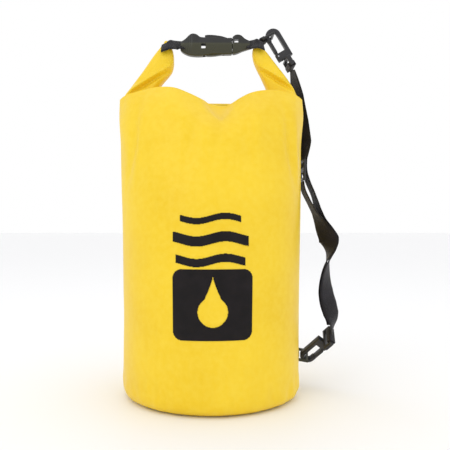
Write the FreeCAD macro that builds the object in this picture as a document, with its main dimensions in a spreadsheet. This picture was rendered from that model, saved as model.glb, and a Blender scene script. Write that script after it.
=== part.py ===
"""Roll-top dry bag with a buckled carry loop and a clip-on shoulder strap, in millimetres.

The origin is the centre of the base on the floor. +Z is up, -Y is the printed front, +X is the strap side.
"""

import FreeCAD, Part
import math
import os

V = FreeCAD.Vector
doc = FreeCAD.newDocument("dry_bag")

# ---------------------------------------------------------------- driving dimensions
sheet = doc.addObject("Spreadsheet::Sheet", "sizes")
DIMENSIONS = {
    "base_radius": 100.0,
    "body_height": 331.0,
    "fabric_wall": 1.0,
    "base_wall": 2.0,
    "band_height": 12.0,
    "band_width": 6.0,
    "mouth_half_width": 105.0,
    "mouth_half_depth": 30.0,
    "roll_to_horn": 2.0,
    "roll_half_depth": 14.0,
    "roll_height": 10.0,
    "stiffener_height": 6.0,
    "stiffener_wall": 1.2,
    "stiffener_margin": 2.0,
    "split_rise": 43.0,
    "horn_height": 68.0,
    "horn_root": 41.0,
    "seam_width": 20.0,
    "seam_wall": 0.8,
    "seam_to_band": 2.0,
    "seam_to_mouth": 14.0,
    "print_width": 82.0,
    "print_height": 70.0,
    "print_bottom": 75.0,
    "print_wall": 0.4,
    "patch_radius": 17.0,
    "webbing_width": 25.0,
    "webbing_wall": 1.6,
    "webbing_room": 0.5,
    "buckle_rise": 65.0,
    "buckle_height": 31.0,
    "buckle_depth": 12.0,
    "buckle_wall": 2.0,
    "buckle_round": 1.5,
    "socket_left": -35.0,
    "socket_right": 24.0,
    "plug_right": 45.0,
    "bridge_length": 9.0,
    "arm_wall": 2.4,
    "tongue_height": 6.0,
    "tongue_length": 5.0,
    "hook_width": 18.0,
    "hook_height": 38.0,
    "hook_depth": 7.0,
    "hook_bar": 4.5,
    "hook_base": 9.0,
    "gate_wall": 3.5,
    "spring_length": 4.0,
    "spring_wall": 0.8,
    "stem_radius": 2.5,
    "pin_radius": 0.9,
    "eye_height": 12.0,
    "eye_wall": 2.5,
    "eye_side": 3.0,
    "ring_width": 22.0,
    "ring_wall": 3.0,
    "ring_round": 1.2,
    "ring_top_gap": 1.5,
    "ring_side_gap": 3.0,
    "ring_loop_gap": 0.9,
    "ring_tail": 9.0,
    "strap_side": 8.0,
    "slider_length": 24.0,
    "slider_wall": 2.6,
    "slider_side": 3.5,
    "slider_slot": 6.0,
    "moving_gap": 0.3,
    "bore_gap": 0.05,
}
for row, (alias, value) in enumerate(DIMENSIONS.items(), start=1):
    sheet.set("A%d" % row, alias)
    sheet.set("B%d" % row, str(value))
    sheet.setAlias("B%d" % row, alias)
doc.recompute()


def size(alias):
    return float(sheet.get(alias))


gap = size("moving_gap")
radius = size("base_radius")
body_height = size("body_height")
mouth_x = size("mouth_half_width")
mouth_y = size("mouth_half_depth")
band_height = size("band_height")
wall = size("fabric_wall")
webbing = size("webbing_wall")
buckle_level = body_height + size("buckle_rise")
buckle_height = size("buckle_height")
buckle_depth = size("buckle_depth")
strap_side = size("strap_side")

nodes = []


def keep(feature, label):
    """Gives a finished sub-part its label and lists it for export."""
    feature.Label = label
    nodes.append(feature)
    return feature


def shape_node(label, shape, placement=None):
    """A sub-part whose lofted or swept shape neither sketches nor primitives give."""
    feature = doc.addObject("Part::Feature", label)
    feature.Shape = shape
    if placement is not None:
        feature.Placement = placement
    return keep(feature, label)


def ellipse_wire(centre_x, half_x, half_y, level, centre_y=0.0):
    """A closed ellipse in a level plane, its longer axis along X or Y as the sizes ask."""
    centre = V(centre_x, centre_y, level)
    if abs(half_x - half_y) < 1e-6:
        return Part.Wire([Part.Circle(centre, V(0, 0, 1), half_x).toShape()])
    if half_x > half_y:
        curve = Part.Ellipse(centre + V(half_x, 0, 0), centre + V(0, half_y, 0), centre)
    else:
        curve = Part.Ellipse(centre + V(0, half_y, 0), centre + V(-half_x, 0, 0), centre)
    return Part.Wire([curve.toShape()])


def level_loft(sections):
    """A solid through level ellipses, each (centre x, half width, half depth, level)."""
    return Part.makeLoft([ellipse_wire(*one) for one in sections], True, False)


def box_between(low, high):
    return Part.makeBox(high[0] - low[0], high[1] - low[1], high[2] - low[2], V(*low))


# ---------------------------------------------------------------- bag
SECTION_COUNT = 11
ROUND_SHARE = 0.42
FLATTENING = 2.8


def body_sections(inset):
    """Ellipses up the bag: round over the base, flatter and a little wider at the mouth."""
    rows = []
    for step in range(SECTION_COUNT):
        share = step / (SECTION_COUNT - 1)
        flat = (max(share - ROUND_SHARE, 0.0) / (1 - ROUND_SHARE)) ** FLATTENING
        half_x = radius + (mouth_x - radius) * share ** 2
        half_y = radius + (mouth_y - radius) * flat
        level = band_height + (body_height - band_height) * share
        rows.append((0.0, half_x - inset, half_y - inset, level))
    return rows


def bag_body():
    outer = level_loft(body_sections(0.0))
    inner = level_loft(body_sections(wall))
    lid = box_between((-2 * mouth_x, -2 * radius, body_height - wall),
                      (2 * mouth_x, 2 * radius, body_height + wall))
    return outer.cut(inner.cut(lid))


outer_body = level_loft(body_sections(0.0))
shape_node("bag_body", bag_body())

base = doc.addObject("Part::Cylinder", "base_panel")
base.setExpression("Radius", "sizes.base_radius - sizes.band_width")
base.setExpression("Height", "sizes.base_wall")
keep(base, "base_panel")

band_tool = doc.addObject("Part::Cylinder", "band_outer")
band_tool.setExpression("Radius", "sizes.base_radius")
band_tool.setExpression("Height", "sizes.band_height")
band_round = doc.addObject("Part::Fillet", "band_round")
doc.recompute()
band_round.Base = band_tool
lower_rim = [i + 1 for i, edge in enumerate(band_tool.Shape.Edges)
             if edge.Closed and edge.BoundBox.ZMax < 1e-6]
band_rounding = 0.9 * min(size("band_width"), band_height)
band_round.Edges = [(i, band_rounding, band_rounding) for i in lower_rim]
band_hole = doc.addObject("Part::Cylinder", "band_hole")
band_hole.setExpression("Radius", "sizes.base_radius - sizes.band_width")
band_hole.setExpression("Height", "sizes.band_height")
band = doc.addObject("Part::Cut", "base_weld_band")
band.Base = band_round
band.Tool = band_hole
keep(band, "base_weld_band")


def skin_patch(thickness, half_width, low, high, front):
    """A patch that lies on the bag's side, thickness proud of it, at the front or at the back."""
    grown = level_loft(body_sections(-thickness))
    side = -1.0 if front else 1.0
    near, far = sorted((side * mouth_y / 2, side * 2 * radius))
    window = box_between((-half_width, near, low), (half_width, far, high))
    return grown.cut(outer_body).common(window)


seam_low = band_height + size("seam_to_band")
seam_high = body_height - size("seam_to_mouth")
shape_node("back_seam_tape", skin_patch(size("seam_wall"), size("seam_width") / 2, seam_low, seam_high, False))
shape_node("printed_panel", skin_patch(size("print_wall"), size("print_width") / 2, size("print_bottom"),
                                       size("print_bottom") + size("print_height"), True))

# ---------------------------------------------------------------- rolled mouth
roll_length = 2 * (mouth_x - size("horn_root") - size("roll_to_horn"))
roll_half_depth = size("roll_half_depth")
roll_height = size("roll_height")
stiffener_low = body_height + (roll_height - size("stiffener_height")) / 2
stiffener_high = stiffener_low + size("stiffener_height")
stiffener_left = -roll_length / 2 + size("stiffener_margin")


def roll_top():
    """The flat roll between the two bent ends, rounded along its top, hollow for the stiffener."""
    rim = Part.makeBox(roll_length, 2 * roll_half_depth, roll_height,
                       V(-roll_length / 2, -roll_half_depth, body_height))
    upper = [edge for edge in rim.Edges
             if edge.BoundBox.ZMin > body_height + roll_height - 1e-6 and edge.BoundBox.XLength > 1.0]
    rim = rim.makeFillet(min(roll_half_depth, roll_height) * 0.7, upper)
    core = box_between((stiffener_left, -size("stiffener_wall") / 2, stiffener_low),
                       (-stiffener_left, size("stiffener_wall") / 2, stiffener_high))
    return rim.cut(core)


shape_node("roll_top", roll_top())
stiffener = doc.addObject("Part::Box", "stiffener_strip")
stiffener.setExpression(
    "Length", "2 * (sizes.mouth_half_width - sizes.horn_root - sizes.roll_to_horn - sizes.stiffener_margin)")
stiffener.setExpression("Width", "sizes.stiffener_wall")
stiffener.setExpression("Height", "sizes.stiffener_height")
stiffener.Placement.Base = V(stiffener_left, -size("stiffener_wall") / 2, stiffener_low)
keep(stiffener, "stiffener_strip")

# share of the horn's height, how far its inner and outer edges lie inside the mouth's edge, half depth
horn_root = size("horn_root")
HORN = [(0.0, horn_root, 2.0, roll_half_depth), (0.31, horn_root, 9.0, roll_half_depth),
        (0.63, horn_root + 11.0, 23.0, 11.0), (0.93, horn_root + 17.0, 41.0, 8.0)]


def horn(side):
    """One bent-up end of the roll: wide at the shoulder, leaning in to the buckle."""
    rows = []
    for share, inner_inset, outer_inset, half_depth in HORN:
        level = body_height + size("horn_height") * share
        inner = mouth_x - inner_inset
        outer = mouth_x - outer_inset
        rows.append((side * (inner + outer) / 2, (outer - inner) / 2, half_depth, level))
    return level_loft(rows)


split = body_height + size("split_rise")
reach = 2 * mouth_x
above = box_between((-reach, -reach, split + gap), (reach, reach, split + reach))
below = box_between((-reach, -reach, 0), (reach, reach, split))
shape_node("left_gusset", horn(-1).common(below))
shape_node("left_roll_end", horn(-1).common(above))
shape_node("right_roll_end", horn(1))

# ---------------------------------------------------------------- buckle
socket_left = size("socket_left")
socket_right = size("socket_right")
plug_right = size("plug_right")
half_height = buckle_height / 2
half_depth = buckle_depth / 2
buckle_wall = size("buckle_wall")
cavity_height = half_height - buckle_wall
cavity_depth = half_depth - buckle_wall
arm_wall = size("arm_wall")
arm_outer = cavity_height - gap
arm_root = socket_right
arm_level = arm_outer - arm_wall / 2
plug_face = arm_root + arm_wall / 2 + size("bore_gap")
bridge_edge = socket_right - size("bridge_length")
# The latch arm's head: how far along it from its tip, and how far it stands out of the arm.
LATCH_HEAD = [(0.0, 1.2), (3.0, 2.0), (7.0, 2.0), (12.0, 1.5), (17.0, 0.5), (22.0, 0.0)]
head_end = bridge_edge - LATCH_HEAD[-1][0]
window_room = 2.0
tongue_half = size("tongue_height") / 2
webbing_half = size("webbing_width") / 2
past = 1.0


def rounded_block(low, high, rounding):
    block = box_between(low, high)
    return block.makeFillet(rounding, block.Edges)


def buckle_socket():
    """The shell the plug clicks into, open on its right, with a window above and below."""
    shell = rounded_block((socket_left, -half_depth, -half_height), (socket_right, half_depth, half_height),
                          size("buckle_round"))
    cavity = box_between((head_end - 2 * window_room, -cavity_depth, -cavity_height),
                         (socket_right + past, cavity_depth, cavity_height))
    windows = box_between((head_end - window_room, -cavity_depth, -half_height - past),
                          (bridge_edge, cavity_depth, half_height + past))
    return shell.cut(cavity).cut(windows)


def buckle_plug():
    """The right half: a solid grip with the middle tongue that guides it into the socket."""
    grip = rounded_block((plug_face, -half_depth, -half_height), (plug_right, half_depth, half_height),
                         size("buckle_round"))
    tongue = box_between((bridge_edge - size("tongue_length"), -cavity_depth + gap, -tongue_half),
                         (plug_face + buckle_wall, cavity_depth - gap, tongue_half))
    return grip.fuse(tongue).removeSplitter()


def latch_arm():
    """The upper arm: a beam from its living hinge, with a ramped head that fills the window."""
    inner = arm_outer - arm_wall
    head = [(head_end + along, arm_outer + rise) for along, rise in LATCH_HEAD]
    outline = [(arm_root, inner), (head_end, inner)] + head + [(arm_root, arm_outer)]
    points = [V(x, -cavity_depth + gap, level) for x, level in outline]
    face = Part.Face(Part.makePolygon(points + points[:1]))
    depth = 2 * (cavity_depth - gap)
    root = Part.makeCylinder(arm_wall / 2, depth, V(arm_root, -cavity_depth + gap, arm_level), V(0, 1, 0))
    return face.extrude(V(0, depth, 0)).fuse(root).removeSplitter()


buckle_place = FreeCAD.Placement(V(0, 0, buckle_level), FreeCAD.Rotation())
flipped_place = FreeCAD.Placement(V(0, 0, buckle_level), FreeCAD.Rotation(V(1, 0, 0), 180))
shape_node("buckle_socket", buckle_socket(), buckle_place)
shape_node("buckle_plug", buckle_plug(), buckle_place)
shape_node("latch_arm_upper", latch_arm(), buckle_place)
shape_node("latch_arm_lower", latch_arm(), flipped_place)


def webbing_tab(label, inner, outer, roll_end):
    """A webbing strip from the buckle into a slit of the roll end, which is cut to take it."""
    strip = box_between((min(inner, outer), -webbing / 2, buckle_level - webbing_half),
                        (max(inner, outer), webbing / 2, buckle_level + webbing_half))
    roll_end.Shape = roll_end.Shape.cut(strip)
    shape_node(label, strip)


roll_ends = {feature.Label: feature for feature in nodes}
horn_inner = mouth_x - HORN[-1][1]
tab_bite = 8.0
webbing_tab("left_webbing_tab", socket_left, -horn_inner - tab_bite, roll_ends["left_roll_end"])
webbing_tab("right_webbing_tab", plug_right, horn_inner + tab_bite, roll_ends["right_roll_end"])

# ---------------------------------------------------------------- rings and snap hooks
ring_width = size("ring_width")
ring_wall = size("ring_wall")
hook_width = size("hook_width")
hook_height = size("hook_height")
hook_half_depth = size("hook_depth") / 2
hook_bar = size("hook_bar")
# The ring reaches round the hook's bar: its own two bars, the webbing loop on the inner one and the gaps.
ring_reach = 2 * ring_wall + webbing + size("ring_loop_gap") + hook_bar + size("ring_side_gap")
hook_base = size("hook_base")
arc_level = hook_height - hook_width / 2
nose_level = arc_level - 4.0
blade_bottom = hook_base + 2.0
gate_wall = size("gate_wall")
gate_left = -hook_width / 2 + 0.4
knuckle_half = hook_half_depth / 2
pin_radius = size("pin_radius")
pin_x = -hook_width / 2 + 2.5
pin_level = hook_base - 3.0
slot_floor = 2.0
stem_top = hook_base - 5.0
stem_root = -1.0
bore_start = -0.5
bore_room = 1.5
hook_round = min(1.2, hook_bar / 3)
spring_left = -hook_width / 2 + 1.0
eye_half = webbing_half + size("webbing_room")
eye_wall = size("eye_wall")
eye_height = size("eye_height")
# The ring's outer bar rests in the hook at its named gaps from the arc's top and from the side it goes round.
hold_level = hook_height - hook_bar - ring_wall / 2 - size("ring_top_gap")
hold_side = hook_width / 2 - hook_bar - ring_wall / 2 - size("ring_side_gap")
NOSE_SIDE = -1
SPINE_SIDE = 1


def stadium(half_x, half_y, low):
    """A block with a half-round top centred on the hook's arc."""
    block = box_between((-half_x, -half_y, low), (half_x, half_y, arc_level))
    top = Part.makeCylinder(half_x, 2 * half_y, V(0, -half_y, arc_level), V(0, 1, 0))
    return block.fuse(top)


def hook_body():
    solid = stadium(hook_width / 2, hook_half_depth, 0.0).removeSplitter()
    solid = solid.makeFillet(hook_round, [edge for edge in solid.Edges if edge.BoundBox.YLength < 1e-6
                                          and edge.BoundBox.ZMax > hook_base])
    solid = solid.cut(stadium(hook_width / 2 - hook_bar, hook_half_depth + past, hook_base))
    mouth = box_between((-hook_width, -hook_width, hook_base),
                        (-hook_width / 2 + hook_bar, hook_width, nose_level))
    slot = box_between((-hook_width, -knuckle_half - gap, slot_floor),
                       (-hook_width / 2 + hook_bar + past, knuckle_half + gap, hook_base + past))
    bore = Part.makeCylinder(size("stem_radius") + size("bore_gap"), stem_top + bore_room - bore_start,
                             V(0, 0, bore_start))
    pin = Part.makeCylinder(pin_radius, hook_width, V(pin_x, -hook_width / 2, pin_level), V(0, 1, 0))
    return solid.cut(mouth).cut(slot).cut(bore).cut(pin)


def hook_gate():
    """The blade that closes the hook's mouth, with its tongue round the pin."""
    gate_right = gate_left + gate_wall
    blade = box_between((gate_left, -hook_half_depth + gap, blade_bottom),
                        (gate_right, hook_half_depth - gap, nose_level - gap))
    tongue = box_between((gate_left, -knuckle_half, pin_level),
                         (gate_right, knuckle_half, blade_bottom + past))
    knuckle = Part.makeCylinder(gate_wall / 2, 2 * knuckle_half,
                                V(gate_left + gate_wall / 2, -knuckle_half, pin_level), V(0, 1, 0))
    hole = Part.makeCylinder(pin_radius + size("bore_gap"), hook_width,
                             V(pin_x, -hook_width / 2, pin_level), V(0, 1, 0))
    return blade.fuse(tongue).fuse(knuckle).removeSplitter().cut(hole)


def gate_pin():
    start = V(pin_x, -hook_half_depth, pin_level)
    return Part.makeCylinder(pin_radius, 2 * hook_half_depth, start, V(0, 1, 0))


def gate_spring():
    """A leaf spring lying on the floor of the gate's slot."""
    return box_between((spring_left, -knuckle_half, slot_floor),
                       (spring_left + size("spring_length"), knuckle_half, slot_floor + size("spring_wall")))


def swivel_eye():
    """The flat eye the strap is sewn round, with the stem that turns in the hook's base."""
    outer_half = eye_half + size("eye_side")
    frame = rounded_block((-eye_wall, -outer_half, -eye_height), (eye_wall, outer_half, -gap), 0.4 * eye_wall)
    slot = box_between((-eye_wall - past, -eye_half, -eye_height + eye_wall),
                       (eye_wall + past, eye_half, -eye_wall - gap))
    stem = Part.makeCylinder(size("stem_radius"), stem_top - stem_root, V(0, 0, stem_root))
    return frame.cut(slot).fuse(stem).removeSplitter()


def strap_loop():
    """The strap's end, sewn round the eye's lower bar."""
    fold = box_between((-eye_wall - webbing, -webbing_half, -eye_height - webbing),
                       (eye_wall + webbing, webbing_half, -eye_height + eye_wall + webbing))
    bar = box_between((-eye_wall, -eye_half, -eye_height), (eye_wall, eye_half, -eye_height + eye_wall))
    return fold.cut(bar)


def d_ring():
    plate = rounded_block((0, -ring_width / 2, -ring_wall / 2), (ring_reach, ring_width / 2, ring_wall / 2),
                          min(size("ring_round"), 0.4 * ring_wall))
    hole = box_between((ring_wall, -ring_width / 2 + ring_wall, -ring_wall),
                       (ring_reach - ring_wall, ring_width / 2 - ring_wall, ring_wall))
    return plate.cut(hole)


def ring_loop():
    """Webbing round the ring's inner bar, with a tail towards what it is sewn to."""
    half_width = ring_width / 2 - ring_wall - 3 * size("webbing_room")
    loop = box_between((-webbing, -half_width, -ring_wall / 2 - webbing),
                       (ring_wall + webbing, half_width, ring_wall / 2 + webbing))
    bar = box_between((0, -ring_width, -ring_wall / 2), (ring_wall, ring_width, ring_wall / 2))
    strip = box_between((-webbing - size("ring_tail"), -half_width, -webbing), (-webbing, half_width, webbing))
    return loop.cut(bar).fuse(strip).removeSplitter()


def frame_placement(origin, along_x, along_z):
    """The placement that carries local X and Z onto the two given directions."""
    x_axis = V(along_x).normalize()
    z_axis = V(along_z).normalize()
    rotation = FreeCAD.Rotation(x_axis, z_axis.cross(x_axis), z_axis, "ZXY")
    return FreeCAD.Placement(V(origin), rotation)


def hook_set(prefix, bar_point, hook_way, bar_way, ring_way, side):
    """A ring, its loop and the snap hook that hangs on the ring's outer bar."""
    hook_way = V(hook_way).normalize()
    bar_way = V(bar_way).normalize()
    across = bar_way.cross(hook_way).normalize()
    hook_origin = bar_point - hook_way * hold_level - across * hold_side * side
    hook_place = frame_placement(hook_origin, across, hook_way)
    ring_x = V(ring_way).normalize()
    ring_root = bar_point - ring_x * (ring_reach - ring_wall / 2)
    ring_place = frame_placement(ring_root, ring_x, ring_x.cross(bar_way))
    shape_node(prefix + "_hook_body", hook_body(), hook_place)
    shape_node(prefix + "_hook_gate", hook_gate(), hook_place)
    shape_node(prefix + "_gate_pin", gate_pin(), hook_place)
    shape_node(prefix + "_gate_spring", gate_spring(), hook_place)
    shape_node(prefix + "_swivel_eye", swivel_eye(), hook_place)
    shape_node(prefix + "_strap_loop", strap_loop(), hook_place)
    shape_node(prefix + "_d_ring", d_ring(), ring_place)
    loop = ring_loop()
    loop.Placement = ring_place
    clear = level_loft(body_sections(-size("seam_wall")))
    shape_node(prefix + "_d_ring_loop", loop.cut(clear))
    print(prefix, "hook origin", hook_place.Base, "way", hook_way, "bar", bar_way,
          "pin", hook_place.multVec(V(pin_x, 0, pin_level)))


upper_bar = V(horn_inner + 24.0, strap_side, buckle_level + 14.0)
hook_set("upper", upper_bar, V(-0.51, 0, 0.86), V(0, 1, 0), V(0.88, 0, 0.48), NOSE_SIDE)

anchor_turn = math.radians(16.4)
anchor_level = 38.0
anchor_way = V(math.cos(anchor_turn), math.sin(anchor_turn), 0)
ring_stand_off = 3.2
lower_bar = anchor_way * (radius + ring_reach + ring_stand_off) + V(0, -4.0, anchor_level - 3.0)
lower_way = V(-0.595, 0.45, -0.664).normalize()
lower_bar_way = V(0.113, 0.868, 0.484)
lower_bar_way = (lower_bar_way - lower_way * lower_bar_way.dot(lower_way)).normalize()
ring_out = V(0.984, -0.033, -0.172)
ring_out = (ring_out - lower_bar_way * ring_out.dot(lower_bar_way)).normalize()
hook_set("lower", lower_bar, lower_way, lower_bar_way, ring_out, SPINE_SIDE)

patch_window = Part.makeCylinder(size("patch_radius"), 2 * radius, V(0, 0, anchor_level), anchor_way)
grown_skin = level_loft(body_sections(-size("seam_wall"))).cut(outer_body)
shape_node("lower_anchor_patch", grown_skin.common(patch_window))

# ---------------------------------------------------------------- strap
STRAP_ROUTE = [(94.4, 370.7), (104.9, 352.5), (111.0, 325.0), (115.5, 293.0), (108.5, 254.0), (114.0, 222.0),
               (130.0, 196.0), (143.0, 172.0), (137.5, 140.0), (137.0, 112.0), (144.0, 92.0), (142.0, 76.0)]
RETURN_ROUTE = [(105.6, 239.0), (108.5, 218.0), (123.0, 194.5), (136.5, 171.0), (131.5, 140.0), (130.5, 113.0),
                (137.5, 93.0), (137.0, 78.0)]


ARC_SHARE = 0.45
SLIDER_CORNER = 4


def rounded_route(route, name):
    """Straight runs joined by tangent arcs through hand-chosen (x, z) points at the strap's side."""
    points = [V(x, strap_side, level) for x, level in route]
    edges = []
    start = points[0]
    radii = []
    for before, corner, after in zip(points, points[1:], points[2:]):
        way_in = (corner - before).normalize()
        way_out = (after - corner).normalize()
        half_turn = way_in.getAngle(way_out) / 2
        shorter = min((corner - before).Length, (after - corner).Length)
        bend = ARC_SHARE * shorter / math.tan(half_turn)
        radii.append(bend)
        enter = corner - way_in * ARC_SHARE * shorter
        leave = corner + way_out * ARC_SHARE * shorter
        toward = (way_out - way_in).normalize()
        centre = corner + toward * (bend / math.cos(half_turn))
        middle = centre - toward * bend
        edges.append(Part.LineSegment(start, enter).toShape())
        edges.append(Part.Arc(enter, middle, leave).toShape())
        start = leave
    edges.append(Part.LineSegment(start, points[-1]).toShape())
    print(name, "smallest bend", round(min(radii), 1), "length", round(sum(edge.Length for edge in edges), 1))
    return Part.Wire(edges)


def strap_band(route, name):
    """The flat webbing along a route, its width across the route's plane."""
    outline = rounded_route(route, name).makeOffset2D(webbing / 2, 0, False, False, True)
    band = Part.Face(outline)
    band.translate(V(0, -webbing_half, 0))
    return band.extrude(V(0, 2 * webbing_half, 0))


shape_node("strap_main", strap_band(STRAP_ROUTE, "strap_main"))
shape_node("strap_return", strap_band(RETURN_ROUTE, "strap_return"))


def strap_slider():
    """The flat three-bar slider, upright on the strap's inner side."""
    corner_x, corner_level = STRAP_ROUTE[SLIDER_CORNER]
    half_width = webbing_half + size("slider_side")
    half_length = size("slider_length") / 2
    outer_face = corner_x - webbing / 2 - gap
    low = (outer_face - size("slider_wall"), strap_side - half_width, corner_level - half_length)
    high = (outer_face, strap_side + half_width, corner_level + half_length)
    frame = rounded_block(low, high, 0.3 * size("slider_wall"))
    slot_half = webbing_half + size("webbing_room")
    rise = size("slider_slot") / 2
    for side in (-1, 1):
        centre = corner_level + side * half_length * ARC_SHARE
        frame = frame.cut(box_between((low[0] - past, strap_side - slot_half, centre - rise),
                                      (high[0] + past, strap_side + slot_half, centre + rise)))
    return frame


shape_node("strap_slider", strap_slider())

# ---------------------------------------------------------------- checks and export
doc.recompute()
for item in doc.Objects:
    if "Invalid" in item.State or "Error" in item.State:
        raise RuntimeError("%s failed: %s" % (item.Label, item.State))
for node in nodes:
    if node.Shape.isNull() or not node.Shape.isValid() or not node.Shape.Solids:
        raise RuntimeError("%s has no valid shape" % node.Label)

os.makedirs("parts", exist_ok=True)
for node in nodes:
    node.Shape.exportStep(os.path.join("parts", node.Label + ".step"))
    print("%-22s solids %d  volume %.0f" % (node.Label, len(node.Shape.Solids), node.Shape.Volume))
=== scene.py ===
import math

import bmesh
import bpy
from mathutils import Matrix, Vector, noise


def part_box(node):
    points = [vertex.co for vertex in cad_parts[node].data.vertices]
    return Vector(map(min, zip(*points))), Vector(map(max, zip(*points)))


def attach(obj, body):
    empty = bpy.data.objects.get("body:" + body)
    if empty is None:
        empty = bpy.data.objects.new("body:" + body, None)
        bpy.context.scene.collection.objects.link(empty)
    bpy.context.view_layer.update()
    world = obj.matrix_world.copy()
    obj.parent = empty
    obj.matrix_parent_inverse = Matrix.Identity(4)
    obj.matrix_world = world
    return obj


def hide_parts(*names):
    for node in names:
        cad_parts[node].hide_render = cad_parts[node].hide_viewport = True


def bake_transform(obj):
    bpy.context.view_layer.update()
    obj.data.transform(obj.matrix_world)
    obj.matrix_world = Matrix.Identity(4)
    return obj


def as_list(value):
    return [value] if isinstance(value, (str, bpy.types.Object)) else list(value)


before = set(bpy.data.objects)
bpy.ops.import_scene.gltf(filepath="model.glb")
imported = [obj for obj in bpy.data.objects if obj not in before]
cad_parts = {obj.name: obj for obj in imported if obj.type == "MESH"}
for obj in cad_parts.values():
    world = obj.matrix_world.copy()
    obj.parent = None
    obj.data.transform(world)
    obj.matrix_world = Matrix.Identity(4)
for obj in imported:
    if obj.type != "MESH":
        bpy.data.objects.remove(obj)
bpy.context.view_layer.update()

bl_info = {
    "name": "Roll-top dry bag",
    "version": (1, 0, 0),
    "blender": (4, 5, 0),
    "location": "View3D > Sidebar > Dry bag",
    "description": "Builds the fabric, strap and hardware of a roll-top dry bag round its packed frame",
    "category": "Object",
}

MM = 0.001
BODY_HIGH = Vector(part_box("bag_body")[1])
ROLL_LOW, ROLL_HIGH = (Vector(corner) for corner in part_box("roll_top"))
SOCKET_LOW, SOCKET_HIGH = (Vector(corner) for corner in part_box("buckle_socket"))
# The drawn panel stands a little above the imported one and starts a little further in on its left.
PRINT_RISE = Vector((0, 0, 2.2 * MM))
PRINT_INSET = 3.5 * MM
PRINT_LOW, PRINT_HIGH = (Vector(corner) + PRINT_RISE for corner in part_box("printed_panel"))
PRINT_LOW.x += PRINT_INSET
BASE_RADIUS = (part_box("base_weld_band")[1][0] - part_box("base_weld_band")[0][0]) / 2


# ------------------------------------------------------------------ settings
class DRYBAG_PG_fabric(bpy.types.PropertyGroup):
    tarpaulin: bpy.props.StringProperty(
        name="Tarpaulin", description="Colour of the coated tarpaulin, as sRGB hex", default="F1CD2A")
    wrinkle_depth: bpy.props.FloatProperty(
        name="Wrinkle depth", description="Depth of the creases under the roll", default=3.2 * MM,
        unit="LENGTH")
    dip_depth: bpy.props.FloatProperty(
        name="Shoulder dip", description="Depth of the pinched dip in the front shoulder", default=13.0 * MM,
        unit="LENGTH")
    scrim_pitch: bpy.props.FloatProperty(
        name="Scrim size", description="Size of the scrim, whose ridges repeat at 2 pi of it",
        default=0.9 * MM, unit="LENGTH")


class DRYBAG_PG_webbing(bpy.types.PropertyGroup):
    width: bpy.props.FloatProperty(
        name="Webbing width", description="Width of the shoulder strap", default=25.0 * MM, unit="LENGTH")
    thickness: bpy.props.FloatProperty(
        name="Webbing thickness", description="Thickness of one layer", default=1.5 * MM, unit="LENGTH")
    colour: bpy.props.StringProperty(
        name="Webbing colour", description="Lighter colour of the webbing, as sRGB hex", default="221E25")


class DRYBAG_PG_hardware(bpy.types.PropertyGroup):
    colour: bpy.props.StringProperty(
        name="Buckle colour", description="Darker colour of the moulded buckle, as sRGB hex",
        default="1B1C16")
    hook_colour: bpy.props.StringProperty(
        name="Hook colour", description="Lighter colour of the moulded hooks, as sRGB hex",
        default="2B2B2E")


def settings(name):
    """The scene's values for the fabric, the webbing or the hardware."""
    return getattr(bpy.context.scene, "dry_bag_" + name)


# ------------------------------------------------------------------ colour and nodes
# A wave texture's bands are this many times finer than its scale says.
WAVE_UNIT = 20
# The width of one float in the webbing's weave.
WEAVE_UNIT = 2.8 * MM
# The level, as a share of the socket's height, below which the buckle is tinted: a painted reflection of the
# yellow bag that lies under it.
REFLECTION_SHARE = 0.6


def linear(code):
    """sRGB hex to a linear colour with alpha."""
    def channel(value):
        return value / 12.92 if value <= 0.04045 else ((value + 0.055) / 1.055) ** 2.4
    return tuple(channel(int(code[i:i + 2], 16) / 255) for i in (0, 2, 4)) + (1.0,)


def add(tree, kind, links=None, **values):
    """Adds a node; values are properties or numbered or named inputs, links are input: output socket."""
    node = tree.nodes.new(kind)
    for key, value in values.items():
        if hasattr(node, key):
            setattr(node, key, value)
        else:
            node.inputs[int(key[1:]) if key[0] == "i" and key[1:].isdigit() else key].default_value = value
    for key, output in (links or {}).items():
        tree.links.new(output, node.inputs[key])
    return node


def surface(name, roughness, **sockets):
    """A new material; gives its tree and its shader."""
    material = bpy.data.materials.new(name)
    material.use_nodes = True
    shader = material.node_tree.nodes["Principled BSDF"]
    shader.inputs["Roughness"].default_value = roughness
    for key, value in sockets.items():
        shader.inputs[key.replace("_", " ")].default_value = value
    return material, material.node_tree, shader


def mixed_colour(tree, factor, low, high):
    """A colour between two hex colours, by a factor."""
    node = add(tree, "ShaderNodeMix", data_type="RGBA")
    tree.links.new(factor, node.inputs["Factor"])
    node.inputs["A"].default_value = linear(low)
    node.inputs["B"].default_value = linear(high)
    return node.outputs["Result"]


def remapped(tree, value, low, high, to_low, to_high):
    """A value with its range from low to high moved to another range."""
    node = add(tree, "ShaderNodeMapRange", {0: value}, i1=low, i2=high, i3=to_low, i4=to_high)
    return node.outputs[0]


def pattern_output(node):
    """The grey output of a pattern node, under either of the names it has had."""
    return node.outputs["Factor" if "Factor" in node.outputs else "Fac"]


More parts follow.
